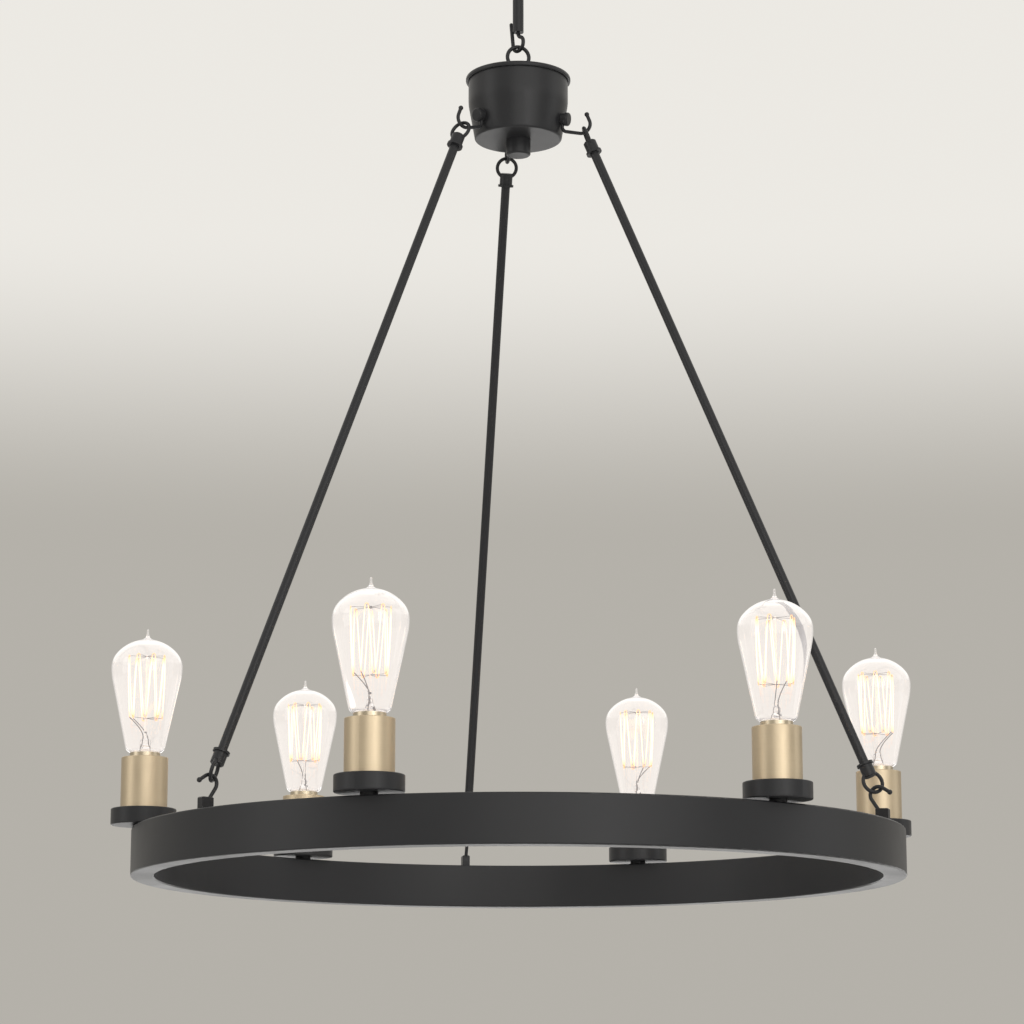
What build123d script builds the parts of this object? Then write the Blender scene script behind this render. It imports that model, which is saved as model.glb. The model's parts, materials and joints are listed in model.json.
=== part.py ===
"""Ring chandelier: six lamps on a steel ring, hung by three rods from a hub, a stem and a ceiling canopy."""

import math
import os

from build123d import *

os.makedirs("parts", exist_ok=True)

# Driving dimensions in millimetres and degrees. The ceiling is z = 0 and everything hangs below it.

# Clearances shared by many fits
slip_fit = 0.1
running_gap = 0.35
top_eye_play = 0.35
bottom_eye_play = 0.85

# Ring: a closed rectangular tube bent to a circle
ring_outer_radius = 335
ring_depth = 20
ring_height = 40
ring_wall = 1.5
ring_edge_radius = 1.2
ring_drop = 692.5

# Threaded lamp pipe, used in the canopy, the hub and the sockets
pipe_diameter = 9.7
pipe_bore = 6.3
pipe_nut_width = 14
pipe_nut_height = 4

# Ceiling set
canopy_diameter = 127
canopy_depth = 25
canopy_wall = 1.2
canopy_edge_radius = 9
canopy_collar_diameter = 26
canopy_collar_height = 9
canopy_collar_edge = 2.5
crossbar_length = 104
crossbar_width = 20
crossbar_thickness = 2.5
crossbar_slot_spacing = 70
crossbar_slot_length = 16
crossbar_slot_width = 4.8
earth_screw_offset = 19
earth_screw_diameter = 4
earth_screw_head = 8
earth_screw_head_height = 3

# Hanging loops of canopy and hub
loop_outer_diameter = 23.3
loop_wire = 3.5
loop_neck_diameter = 13
loop_neck_height = 8
loop_neck_cap = 1.2
loop_neck_edge = 0.8
loop_thread_depth = 5.5
loop_lead_bore = 5

# Stem between the two loops, measured between the wires it hangs on
stem_length = 152
stem_diameter = 10
stem_wall = 1
stem_hook_wire = 3.5
stem_hook_bend_radius = 7
stem_hook_leg_length = 4
stem_hook_jog_radius = 5
stem_hook_height = 16
stem_hook_tip_length = 22
stem_hook_tip_lean = 7
stem_plug_length = 12
stem_shoulder = 2

# Hub
hub_height = 57.6
hub_straight_height = 24
hub_top_diameter = 91
hub_bottom_diameter = 79
hub_wall = 1.5
hub_bend_radius = 40
hub_edge_radius = 2
lid_wall = 2
lid_fit = 0.4
lid_skirt = 4.4
lid_edge_radius = 2
lid_lip_radius = 1.2
lid_flat_margin = 3
lid_crown = 2
lid_bow = 0.6
lid_seat_margin = 1.5
boss_diameter = 22.5
boss_height = 15
boss_edge_radius = 2
boss_thread_depth = 9

# Knobs and J-hooks on the hub
knob_height = 15
knob_diameter = 12.4
knob_thickness = 3.6
knob_edge_radius = 1.5
knob_screw_diameter = 4
knob_nut_width = 7
knob_nut_height = 3.2
knob_screw_tail = 1.5
knob_hole_depth = 6
hook_wire = 3.2
hook_pad_diameter = 11
hook_pad_margin = 0.3
hook_root_clear = 0.4
hook_root_bend_radius = 5
hub_hook_bend_radius = 8
hub_hook_reach = 19.5
hub_hook_drop = 8
hub_hook_tip_lean = 22
hub_hook_tip_length = 6.8
hook_ball_diameter = 4.4

# Lugs and hooks on the ring
lug_width = 7
lug_depth = 11
lug_height = 10
lug_edge = 0.8
lug_outset = 0.3
ring_hook_bend_radius = 7
ring_hook_inset = 3
ring_hook_rise = 21.4
ring_hook_lean = 33
ring_hook_seat = 4
ring_hook_tip_length = 7

# Hanging rods with an eye at each end
rod_diameter = 8
rod_wall = 1
eye_outer_diameter = 21
eye_wire = 3.2
eye_opening = 12.3
end_collar_diameter = 11.7
end_collar_length = 12.5
end_collar_chamfer = 0.8
end_flange_diameter = 14.3
end_flange_thickness = 2
rod_seat_depth = 9

# Sockets
socket_count = 6
foot_diameter = 14.5
foot_height = 2.5
disc_diameter = 56
disc_height = 14
disc_edge_radius = 1
cup_diameter = 40
cup_height = 44
cup_wall = 1
cup_edge_radius = 0.7
holder_gap = 0.7
holder_recess = 3
holder_floor = 13
holder_thread_depth = 8
shell_wall = 0.8
shell_length = 24
shell_thread_gap = 0.5
shell_hole_diameter = 14
contact_diameter = 8
socket_nut_width = 12.6
socket_nut_turn = 30
socket_nipple_tail = 0.5

# Lamps with a medium screw base
base_diameter = 26.2
base_wall = 0.8
base_show = 4
base_length = 24
base_cone_height = 3.8
base_tip_diameter = 9.5
base_tip_height = 1.2
bulb_diameter = 61
bulb_equator = 78.3
bulb_dome_height = 24.2
bulb_cheek_radius = 18.5
bulb_tip_height = 111.5
bulb_tip_radius = 1.1
bulb_tip_neck = 1.9
bulb_tip_neck_height = 2.6
bulb_tip_root = 5
bulb_tip_sink = 0.55
bulb_shoulder_radius = 60
bulb_flank_angle = 12
bulb_flank_end = 9
bulb_wall = 0.8
bulb_neck_depth = 6
bulb_stem_radius = 5.5
bulb_press_radius = 3.2
bulb_press_height = 16
bulb_rod_radius = 1.1
bulb_rod_top = 2
filament_wire = 0.7
filament_strands = 14
filament_pitch = 24
filament_bend_share = 0.3
filament_bottom_radius = 14
filament_top_radius = 16
filament_bottom = 35
filament_top = 87
support_wire = 0.5

# Directions: the rods stand at thirds of the circle, the lamps at sixths between them
rod_angles = {"rear": 90, "left": 210, "right": 330}
top_eye_turns = {"rear": 0, "left": -18, "right": -18}
bottom_eye_turn = -45
stem_hook_turn = -58

# Heights that follow from the sizes above
loop_radius = (loop_outer_diameter - loop_wire) / 2
collar_bottom = -canopy_depth - canopy_collar_height
stem_top = collar_bottom - loop_neck_height - 2 * loop_radius
stem_bottom = stem_top - stem_length
lid_seat = stem_bottom - 2 * loop_radius - loop_neck_height
lid_rim = lid_seat - lid_crown
hub_top = lid_rim - lid_wall
hub_bottom = hub_top - hub_height
ring_top = lid_rim - ring_drop
ring_middle_radius = ring_outer_radius - ring_depth / 2
socket_circle_radius = ring_middle_radius
disc_bottom = ring_top + foot_height
disc_top = disc_bottom + disc_height
cup_rim = disc_top + cup_height
holder_bottom = disc_top + cup_wall
holder_top = cup_rim - holder_recess
holder_floor_top = holder_bottom + holder_floor
base_top = cup_rim + base_show
base_bottom = base_top - base_length
base_tip = base_bottom - base_cone_height - base_tip_height

# Half a hexagon's width over its corners for a width of 1 over its flats
hexagon_corner = math.tan(math.radians(30))

# Radii that follow from the sizes above
pipe_radius = pipe_diameter / 2
pipe_hole_radius = pipe_radius + 2 * slip_fit
hub_top_radius = hub_top_diameter / 2
hub_foot_radius = hub_bottom_diameter / 2
lid_inner_radius = hub_top_radius + lid_fit
lid_outer_radius = lid_inner_radius + lid_wall
eye_radius = (eye_outer_diameter - eye_wire) / 2
cup_inner_radius = cup_diameter / 2 - cup_wall
base_radius = base_diameter / 2
shell_inner_radius = base_radius + shell_thread_gap
shell_outer_radius = shell_inner_radius + shell_wall
bulb_neck_radius = base_radius - base_wall - slip_fit

# The dome of the glass: a cheek arc from the equator that runs into a crown arc centred on the axis
cheek_offset = bulb_diameter / 2 - bulb_cheek_radius
dome_squares = bulb_dome_height**2 + cheek_offset**2 - bulb_cheek_radius**2
bulb_crown_radius = dome_squares / (2 * (bulb_dome_height - bulb_cheek_radius))
cheek_turn = math.degrees(math.atan2(bulb_crown_radius - bulb_dome_height, cheek_offset))

# The hub's taper below its straight part: slope, and radius and outward normal at the height of the knobs
hub_slope = math.atan2(hub_top_radius - hub_foot_radius, hub_height - hub_straight_height)
hub_bend_height = hub_top - hub_straight_height
hub_inner_step = hub_wall * math.tan(hub_slope / 2)
hub_foot_step = hub_wall * (1 / math.cos(hub_slope) - math.tan(hub_slope))
knob_z = hub_bottom + knob_height
knob_wall_radius = hub_foot_radius + knob_height * math.tan(hub_slope)
wall_normal = Vector(math.cos(hub_slope), -math.sin(hub_slope))
wall_down = Vector(-math.sin(hub_slope), -math.cos(hub_slope))

# Bend centres of the hooks as (radius, height), and the rod's line between them
hub_hook_centre = Vector(knob_wall_radius + hub_hook_reach, knob_z - hub_hook_drop)
ring_hook_centre = Vector(ring_middle_radius - ring_hook_inset, ring_top + ring_hook_rise)
rod_direction = (ring_hook_centre - hub_hook_centre).normalized()
eye_seat = (hook_wire + eye_wire) / 2
top_pivot = hub_hook_centre + rod_direction * (hub_hook_bend_radius - eye_seat - top_eye_play)
bottom_pivot = ring_hook_centre - rod_direction * (ring_hook_bend_radius - eye_seat - bottom_eye_play)
rod_span = (bottom_pivot - top_pivot).length


def polar(length, degrees):
    """Point at a distance and a direction in a drawing plane."""
    return Vector(length * math.cos(math.radians(degrees)), length * math.sin(math.radians(degrees)))


def drawn(point):
    """Coordinates that a drawing plane places, as a pair."""
    return (point.X, point.Y)


def radial_plane(angle):
    """Upright plane through the axis: its x is the radius at that angle, its y is height."""
    outward = polar(1, angle)
    return Plane(origin=(0, 0, 0), x_dir=outward, z_dir=(outward.Y, -outward.X, 0))


def knob_plane(angle):
    """Plane that touches the hub's taper at a knob, with its z pointing out of the wall."""
    upright = radial_plane(angle)
    place = upright.from_local_coords(Vector(knob_wall_radius, knob_z))
    outward = upright.from_local_coords(wall_normal)
    return Plane(origin=place, x_dir=upright.z_dir, z_dir=outward)


def socket_places():
    """Points of the socket circle, one for each lamp."""
    return PolarLocations(socket_circle_radius, socket_count)


def save(solid, name):
    """Label a finished piece and write it."""
    solid.label = name
    export_step(solid, f"parts/{name}.step")


# Ceiling set

with BuildPart() as crossbar:
    with BuildSketch(Plane.XY) as crossbar_outline:
        SlotOverall(crossbar_length, crossbar_width)
        with GridLocations(crossbar_slot_spacing, 0, 2, 1):
            SlotOverall(crossbar_slot_length, crossbar_slot_width, mode=Mode.SUBTRACT)
        Circle(pipe_radius + slip_fit, mode=Mode.SUBTRACT)
        with Locations((-earth_screw_offset, 0)):
            Circle(earth_screw_diameter / 2 + slip_fit, mode=Mode.SUBTRACT)
    extrude(amount=-crossbar_thickness)
save(crossbar.part, "crossbar")

with BuildPart() as earth_screw:
    with BuildSketch(Plane.XY.offset(-crossbar_thickness)):
        with Locations((-earth_screw_offset, 0)):
            RegularPolygon(earth_screw_head / 2, 6, major_radius=False)
    extrude(amount=-earth_screw_head_height)
    with BuildSketch(Plane.XY.offset(-crossbar_thickness)):
        with Locations((-earth_screw_offset, 0)):
            Circle(earth_screw_diameter / 2)
    extrude(amount=crossbar_thickness)
save(earth_screw.part, "earth_screw")

with BuildPart() as canopy_nipple:
    with BuildSketch(Plane.XY):
        Circle(pipe_radius)
        Circle(pipe_bore / 2, mode=Mode.SUBTRACT)
    extrude(amount=collar_bottom - loop_thread_depth)
save(canopy_nipple.part, "canopy_nipple")

with BuildPart() as canopy_nut:
    with BuildSketch(Plane.XY.offset(-crossbar_thickness)):
        RegularPolygon(pipe_nut_width / 2, 6, major_radius=False)
        Circle(pipe_radius + slip_fit, mode=Mode.SUBTRACT)
    extrude(amount=-pipe_nut_height)
save(canopy_nut.part, "canopy_nut")

with BuildPart() as canopy_shell:
    with BuildSketch(Plane.XY):
        Circle(canopy_diameter / 2)
    extrude(amount=-canopy_depth)
    fillet(canopy_shell.faces().sort_by(Axis.Z)[0].edges(), canopy_edge_radius)
    offset(amount=-canopy_wall, openings=canopy_shell.faces().sort_by(Axis.Z)[-1])
    with BuildSketch(Plane.XY.offset(-canopy_depth)):
        Circle(pipe_hole_radius)
    extrude(amount=2 * canopy_wall, mode=Mode.SUBTRACT)
save(canopy_shell.part, "canopy_shell")

with BuildPart() as canopy_collar:
    with BuildSketch(Plane.XY.offset(-canopy_depth)):
        Circle(canopy_collar_diameter / 2)
    extrude(amount=-canopy_collar_height)
    fillet(canopy_collar.faces().sort_by(Axis.Z)[0].edges(), canopy_collar_edge)
    with BuildSketch(Plane.XY.offset(-canopy_depth)):
        Circle(pipe_radius + slip_fit)
    extrude(amount=-canopy_collar_height, mode=Mode.SUBTRACT)
save(canopy_collar.part, "canopy_collar")


def hanging_loop(seat, across):
    """Ring of round wire on a short threaded neck; the seat's z points at the ring, across is its axis."""
    ring_centre = seat.from_local_coords(Vector(0, 0, loop_neck_height + loop_radius))
    neck_length = loop_neck_height + loop_neck_cap
    with BuildPart() as loop:
        with Locations(Plane(origin=ring_centre, x_dir=seat.z_dir, z_dir=across)):
            Torus(loop_radius, loop_wire / 2)
        with BuildSketch(seat):
            Circle(loop_neck_diameter / 2)
        extrude(amount=neck_length)
        neck_edges = loop.edges().filter_by(GeomType.CIRCLE).sort_by(Axis.Z)
        fillet(neck_edges[0 if seat.z_dir.Z > 0 else -1], loop_neck_edge)
        with BuildSketch(seat):
            Circle(loop_lead_bore / 2)
        extrude(amount=neck_length + loop_wire, mode=Mode.SUBTRACT)
        with BuildSketch(seat):
            Circle(pipe_radius + slip_fit)
        extrude(amount=loop_thread_depth, mode=Mode.SUBTRACT)
    return loop.part


canopy_loop_seat = Plane(origin=(0, 0, collar_bottom), x_dir=(1, 0, 0), z_dir=(0, 0, -1))
save(hanging_loop(canopy_loop_seat, (1, 0, 0)), "canopy_loop")


# Stem

with BuildPart() as stem_tube:
    with BuildSketch(Plane.XY.offset(stem_bottom + stem_hook_height)):
        Circle(stem_diameter / 2)
        Circle(stem_diameter / 2 - stem_wall, mode=Mode.SUBTRACT)
    extrude(amount=stem_length - 2 * stem_hook_height)
save(stem_tube.part, "stem_tube")


def stem_hook(flat):
    """Hook whose plane has its origin on the wire it hangs on and its y along the stem towards the tube."""
    bend_height = stem_hook_bend_radius - (stem_hook_wire + loop_wire) / 2 - running_gap
    jog_turn = math.degrees(math.acos(1 - stem_hook_bend_radius / (2 * stem_hook_jog_radius)))
    bend_start = 180 + stem_hook_tip_lean
    tip_start = Vector(0, bend_height) + polar(stem_hook_bend_radius, bend_start)
    tip_end = tip_start + polar(stem_hook_tip_length, bend_start - 90)
    along = flat.y_dir
    shoulder = Plane(origin=flat.from_local_coords(Vector(0, stem_hook_height)), x_dir=flat.x_dir, z_dir=along)
    with BuildPart() as hook:
        with BuildLine(flat) as wire_line:
            tip = Line(drawn(tip_end), drawn(tip_start))
            CenterArc((0, bend_height), stem_hook_bend_radius, bend_start, 360 - bend_start)
            leg = Line((stem_hook_bend_radius, bend_height), (stem_hook_bend_radius, stem_hook_leg_length))
            first = JernArc(leg @ 1, along, stem_hook_jog_radius, jog_turn)
            second = JernArc(first @ 1, first % 1, stem_hook_jog_radius, -jog_turn)
            Line(second @ 1, flat.from_local_coords(Vector(0, stem_hook_height)))
        with BuildSketch(Plane(origin=tip @ 0, z_dir=tip % 0)):
            Circle(stem_hook_wire / 2)
        sweep(path=wire_line.line)
        with Locations(Plane(origin=tip @ 0, z_dir=tip % 0)):
            Sphere(stem_hook_wire / 2)
        with BuildSketch(shoulder.offset(-stem_shoulder)):
            Circle(stem_diameter / 2)
        extrude(amount=stem_shoulder)
        with BuildSketch(shoulder):
            Circle(stem_diameter / 2 - stem_wall - slip_fit)
        extrude(amount=stem_plug_length)
    return hook.part


save(stem_hook(Plane(origin=(0, 0, stem_top), x_dir=(1, 0, 0), z_dir=(0, 1, 0))), "stem_upper_hook")
lower_hook_side = polar(1, stem_hook_turn)
lower_hook_across = lower_hook_side.cross(Vector(0, 0, 1))
lower_hook_flat = Plane((0, 0, stem_bottom), x_dir=lower_hook_side, z_dir=lower_hook_across)
save(stem_hook(lower_hook_flat), "stem_lower_hook")


# Hub

save(hanging_loop(Plane.XY.offset(lid_seat), (0, 1, 0)), "hub_loop")

lid_flat_radius = hub_top_radius - lid_flat_margin
lid_seat_radius = pipe_nut_width * hexagon_corner + lid_seat_margin
with BuildPart() as hub_lid:
    with BuildSketch(Plane.XZ) as lid_profile:
        with BuildLine():
            Polyline(
                (lid_flat_radius, hub_top),
                (lid_inner_radius, hub_top),
                (lid_inner_radius, lid_rim - lid_skirt),
                (lid_outer_radius, lid_rim - lid_skirt),
                (lid_outer_radius, lid_rim),
                (lid_flat_radius, lid_rim),
            )
            SagittaArc((lid_flat_radius, lid_rim), (lid_seat_radius, lid_seat), lid_bow)
            Polyline(
                (lid_seat_radius, lid_seat),
                (pipe_hole_radius, lid_seat),
                (pipe_hole_radius, lid_seat - lid_wall),
                (lid_seat_radius, lid_seat - lid_wall),
            )
            SagittaArc((lid_seat_radius, lid_seat - lid_wall), (lid_flat_radius, hub_top), -lid_bow)
        make_face()
        fillet(lid_profile.vertices().sort_by_distance((lid_outer_radius, lid_rim))[0], lid_edge_radius)
        lip_corner = lid_profile.vertices().sort_by_distance((lid_outer_radius, lid_rim - lid_skirt))[0]
        fillet(lip_corner, lid_lip_radius)
    revolve(axis=Axis.Z)
save(hub_lid.part, "hub_lid")

with BuildPart() as hub_shell:
    with BuildSketch(Plane.XZ) as shell_profile:
        with BuildLine():
            Polyline(
                (hub_top_radius, hub_top),
                (hub_top_radius, hub_bend_height),
                (hub_foot_radius, hub_bottom),
                (pipe_hole_radius, hub_bottom),
                (pipe_hole_radius, hub_bottom + hub_wall),
                (hub_foot_radius - hub_foot_step, hub_bottom + hub_wall),
                (hub_top_radius - hub_wall, hub_bend_height - hub_inner_step),
                (hub_top_radius - hub_wall, hub_top),
                close=True,
            )
        make_face()
        fillet(shell_profile.vertices().sort_by_distance((hub_foot_radius, hub_bottom))[0], hub_edge_radius)
        bend_corner = shell_profile.vertices().sort_by_distance((hub_top_radius, hub_bend_height))[0]
        fillet(bend_corner, hub_bend_radius)
    revolve(axis=Axis.Z)
    for angle in rod_angles.values():
        with BuildSketch(knob_plane(angle)):
            Circle(knob_screw_diameter / 2 + slip_fit)
        extrude(amount=knob_hole_depth, both=True, mode=Mode.SUBTRACT)
save(hub_shell.part, "hub_shell")

with BuildPart() as hub_boss:
    with BuildSketch(Plane.XY.offset(hub_bottom)):
        Circle(boss_diameter / 2)
    extrude(amount=-boss_height)
    fillet(hub_boss.faces().sort_by(Axis.Z)[0].edges(), boss_edge_radius)
    with BuildSketch(Plane.XY.offset(hub_bottom)):
        Circle(pipe_radius + slip_fit)
    extrude(amount=-boss_thread_depth, mode=Mode.SUBTRACT)
save(hub_boss.part, "hub_boss")

with BuildPart() as hub_nipple:
    with BuildSketch(Plane.XY.offset(hub_bottom - boss_thread_depth)):
        Circle(pipe_radius)
        Circle(pipe_bore / 2, mode=Mode.SUBTRACT)
    extrude(amount=lid_seat + loop_thread_depth - hub_bottom + boss_thread_depth)
save(hub_nipple.part, "hub_nipple")

with BuildPart() as hub_nuts:
    for nut_bottom in (hub_bottom + hub_wall, lid_seat - lid_wall - pipe_nut_height):
        with BuildSketch(Plane.XY.offset(nut_bottom)):
            RegularPolygon(pipe_nut_width / 2, 6, major_radius=False)
            Circle(pipe_radius + slip_fit, mode=Mode.SUBTRACT)
        extrude(amount=pipe_nut_height)
save(hub_nuts.part, "hub_nuts")

# The wire of a J-hook runs down the wall from its pad, turns outwards and ends in an upturned bend
hook_pad_thickness = hook_wire + 2 * hook_pad_margin
hook_root = Vector(knob_wall_radius, knob_z) + wall_normal * (hook_pad_thickness / 2)
root_end = hook_root + wall_down * (knob_diameter / 2 + hook_root_clear)
root_centre = root_end + wall_normal * hook_root_bend_radius
centre_step = hub_hook_centre - root_centre
step_direction = math.degrees(math.atan2(centre_step.Y, centre_step.X))
bend_difference = hook_root_bend_radius - hub_hook_bend_radius
shank_heading = step_direction + math.degrees(math.asin(bend_difference / centre_step.length))
root_heading = -90 - math.degrees(hub_slope)
tip_heading = 90 + hub_hook_tip_lean
shank_turn = shank_heading - root_heading
tip_turn = tip_heading - shank_heading
shank_near = root_centre + polar(hook_root_bend_radius, shank_heading - 90)
shank_far = hub_hook_centre + polar(hub_hook_bend_radius, shank_heading - 90)
bend_end = hub_hook_centre + polar(hub_hook_bend_radius, tip_heading - 90)

with BuildPart() as hub_hooks:
    for angle in rod_angles.values():
        with BuildLine(radial_plane(angle)) as hook_line:
            root = Line(drawn(hook_root), drawn(root_end))
            CenterArc(drawn(root_centre), hook_root_bend_radius, root_heading - 90, shank_turn)
            Line(drawn(shank_near), drawn(shank_far))
            CenterArc(drawn(hub_hook_centre), hub_hook_bend_radius, shank_heading - 90, tip_turn)
            tip = Line(drawn(bend_end), drawn(bend_end + polar(hub_hook_tip_length, tip_heading)))
        with BuildSketch(Plane(origin=root @ 0, z_dir=root % 0)):
            Circle(hook_wire / 2)
        sweep(path=hook_line.line)
        with Locations(Plane(origin=tip @ 1, z_dir=tip % 1)):
            Sphere(hook_ball_diameter / 2)
        with BuildSketch(knob_plane(angle)):
            Circle(hook_pad_diameter / 2)
        extrude(amount=hook_pad_thickness)
        with BuildSketch(knob_plane(angle)):
            Circle(knob_screw_diameter / 2 + slip_fit)
        extrude(amount=hook_pad_thickness, mode=Mode.SUBTRACT)
save(hub_hooks.part, "hub_hooks")

knob_screw_length = hook_pad_thickness + 2 * hub_wall + knob_nut_height + knob_screw_tail
with BuildPart() as hub_knobs:
    for angle in rod_angles.values():
        head = knob_plane(angle).offset(hook_pad_thickness)
        with BuildSketch(head):
            Circle(knob_diameter / 2)
        extrude(amount=knob_thickness)
        knob_front = head.from_local_coords(Vector(0, 0, knob_thickness))
        outer_face = hub_knobs.faces().sort_by_distance(knob_front)[0]
        fillet(outer_face.edges(), knob_edge_radius)
        with BuildSketch(head):
            Circle(knob_screw_diameter / 2)
        extrude(amount=-knob_screw_length)
save(hub_knobs.part, "hub_knobs")

# Flat-faced nuts clear the curved inner wall by its bow across their width
inner_wall_radius = knob_wall_radius - hub_wall
nut_corner = knob_nut_width * hexagon_corner
nut_bow = inner_wall_radius - math.sqrt(inner_wall_radius**2 - nut_corner**2)
with BuildPart() as knob_nuts:
    for angle in rod_angles.values():
        with BuildSketch(knob_plane(angle).offset(-hub_wall - nut_bow)):
            RegularPolygon(knob_nut_width / 2, 6, major_radius=False)
            Circle(knob_screw_diameter / 2 + slip_fit, mode=Mode.SUBTRACT)
        extrude(amount=-knob_nut_height)
save(knob_nuts.part, "knob_nuts")


# Hanging rods


def rod_axis_plane(angle, start, heading):
    """Plane at a pivot of the rod: its y runs along the rod towards its middle, its z is level."""
    upright = radial_plane(angle)
    along = upright.from_local_coords(heading)
    return Plane(origin=upright.from_local_coords(start), x_dir=along.cross(upright.z_dir), z_dir=upright.z_dir)


def rod_end(flat, turn):
    """Collar with a flange for the tube and an eye of round wire, turned about the rod."""
    collar_start = eye_wire / 2 + eye_opening
    collar_end = collar_start + end_collar_length
    along = Axis(flat.origin, flat.y_dir)
    eye_axis = flat.x_dir.rotate(Axis((0, 0, 0), flat.y_dir), turn)
    with BuildPart() as end:
        with Locations(Plane(flat.from_local_coords(Vector(0, eye_radius)), x_dir=flat.y_dir, z_dir=eye_axis)):
            Torus(eye_radius, eye_wire / 2)
        with BuildSketch(flat):
            with BuildLine():
                Polyline(
                    (0, collar_start),
                    (end_collar_diameter / 2 - end_collar_chamfer, collar_start),
                    (end_collar_diameter / 2, collar_start + end_collar_chamfer),
                    (end_collar_diameter / 2, collar_end - end_flange_thickness),
                    (end_flange_diameter / 2, collar_end - end_flange_thickness),
                    (end_flange_diameter / 2, collar_end),
                    (0, collar_end),
                    close=True,
                )
            make_face()
        revolve(axis=along)
        with BuildSketch(Plane(flat.from_local_coords(Vector(0, collar_end)), z_dir=-flat.y_dir)):
            Circle(rod_diameter / 2 + slip_fit)
        extrude(amount=rod_seat_depth, mode=Mode.SUBTRACT)
    return end.part


tube_start = eye_wire / 2 + eye_opening + end_collar_length - rod_seat_depth
for name, angle in rod_angles.items():
    top = rod_axis_plane(angle, top_pivot, rod_direction)
    bottom = rod_axis_plane(angle, bottom_pivot, -rod_direction)
    with BuildPart() as rod_tube:
        with BuildSketch(Plane(top.from_local_coords(Vector(0, tube_start)), z_dir=top.y_dir)):
            Circle(rod_diameter / 2)
            Circle(rod_diameter / 2 - rod_wall, mode=Mode.SUBTRACT)
        extrude(amount=rod_span - 2 * tube_start)
    save(rod_tube.part, f"rod_tube_{name}")
    save(rod_end(top, top_eye_turns[name]), f"rod_top_end_{name}")
    save(rod_end(bottom, bottom_eye_turn), f"rod_bottom_end_{name}")


# Ring

with BuildPart() as ring_tube:
    with BuildSketch(Plane.XZ):
        with Locations((ring_middle_radius, ring_top - ring_height / 2)):
            RectangleRounded(ring_depth, ring_height, ring_edge_radius)
            Rectangle(ring_depth - 2 * ring_wall, ring_height - 2 * ring_wall, mode=Mode.SUBTRACT)
    revolve(axis=Axis.Z)
    with BuildSketch(Plane.XY.offset(ring_top)):
        with socket_places():
            Circle(pipe_hole_radius)
    extrude(amount=-2 * ring_wall, mode=Mode.SUBTRACT)
save(ring_tube.part, "ring_tube")

lug_radius = ring_middle_radius + lug_outset
shank_end = ring_hook_centre + polar(ring_hook_bend_radius, 180 + ring_hook_lean)
shank_length = (shank_end.Y - ring_top - ring_hook_seat) / math.cos(math.radians(ring_hook_lean))
shank_root = shank_end - polar(shank_length, 90 + ring_hook_lean)
ring_bend_start = 90 - ring_hook_lean
ring_bend_turn = 90 + 2 * ring_hook_lean
ring_bend_end = ring_hook_centre + polar(ring_hook_bend_radius, ring_bend_start)
ring_tip_end = ring_bend_end + polar(ring_hook_tip_length, -ring_hook_lean)

with BuildPart() as ring_lugs:
    for angle in rod_angles.values():
        upright = radial_plane(angle)
        top_face = Plane(upright.from_local_coords(Vector(lug_radius, ring_top)), x_dir=upright.x_dir)
        with BuildSketch(top_face):
            Rectangle(lug_depth, lug_width)
        extrude(amount=lug_height)
    chamfer(ring_lugs.faces().group_by(Axis.Z)[-1].edges(), lug_edge)
    for angle in rod_angles.values():
        upright = radial_plane(angle)
        root_point = upright.from_local_coords(shank_root)
        with BuildSketch(Plane(root_point, z_dir=upright.from_local_coords(shank_end) - root_point)):
            Circle(hook_wire / 2 + slip_fit)
        extrude(amount=shank_length, mode=Mode.SUBTRACT)
save(ring_lugs.part, "ring_lugs")

with BuildPart() as ring_hooks:
    for angle in rod_angles.values():
        with BuildLine(radial_plane(angle)) as hook_line:
            tip = Line(drawn(ring_tip_end), drawn(ring_bend_end))
            CenterArc(drawn(ring_hook_centre), ring_hook_bend_radius, ring_bend_start, ring_bend_turn)
            Line(drawn(shank_end), drawn(shank_root))
        with BuildSketch(Plane(origin=tip @ 0, z_dir=tip % 0)):
            Circle(hook_wire / 2)
        sweep(path=hook_line.line)
        with Locations(Plane(origin=tip @ 0, z_dir=tip % 0)):
            Sphere(hook_ball_diameter / 2)
save(ring_hooks.part, "ring_hooks")


# Sockets

with BuildPart() as socket_feet:
    with BuildSketch(Plane.XY.offset(ring_top)):
        with socket_places():
            Circle(foot_diameter / 2)
            Circle(pipe_hole_radius, mode=Mode.SUBTRACT)
    extrude(amount=foot_height)
save(socket_feet.part, "socket_feet")

with BuildPart() as socket_discs:
    with BuildSketch(Plane.XY.offset(disc_bottom)):
        with socket_places():
            Circle(disc_diameter / 2)
    extrude(amount=disc_height)
    fillet(socket_discs.edges().filter_by(GeomType.CIRCLE), disc_edge_radius)
    with BuildSketch(Plane.XY.offset(disc_bottom)):
        with socket_places():
            Circle(pipe_hole_radius)
    extrude(amount=disc_height, mode=Mode.SUBTRACT)
save(socket_discs.part, "socket_discs")

with BuildPart() as socket_cups:
    with BuildSketch(Plane.XY.offset(disc_top)):
        with socket_places():
            Circle(cup_diameter / 2)
    extrude(amount=cup_height)
    fillet(socket_cups.faces().group_by(Axis.Z)[-1].edges(), cup_edge_radius)
    with BuildSketch(Plane.XY.offset(holder_bottom)):
        with socket_places():
            Circle(cup_inner_radius)
    extrude(amount=cup_height, mode=Mode.SUBTRACT)
    with BuildSketch(Plane.XY.offset(disc_top)):
        with socket_places():
            Circle(pipe_hole_radius)
    extrude(amount=cup_wall, mode=Mode.SUBTRACT)
save(socket_cups.part, "socket_cups")

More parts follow.
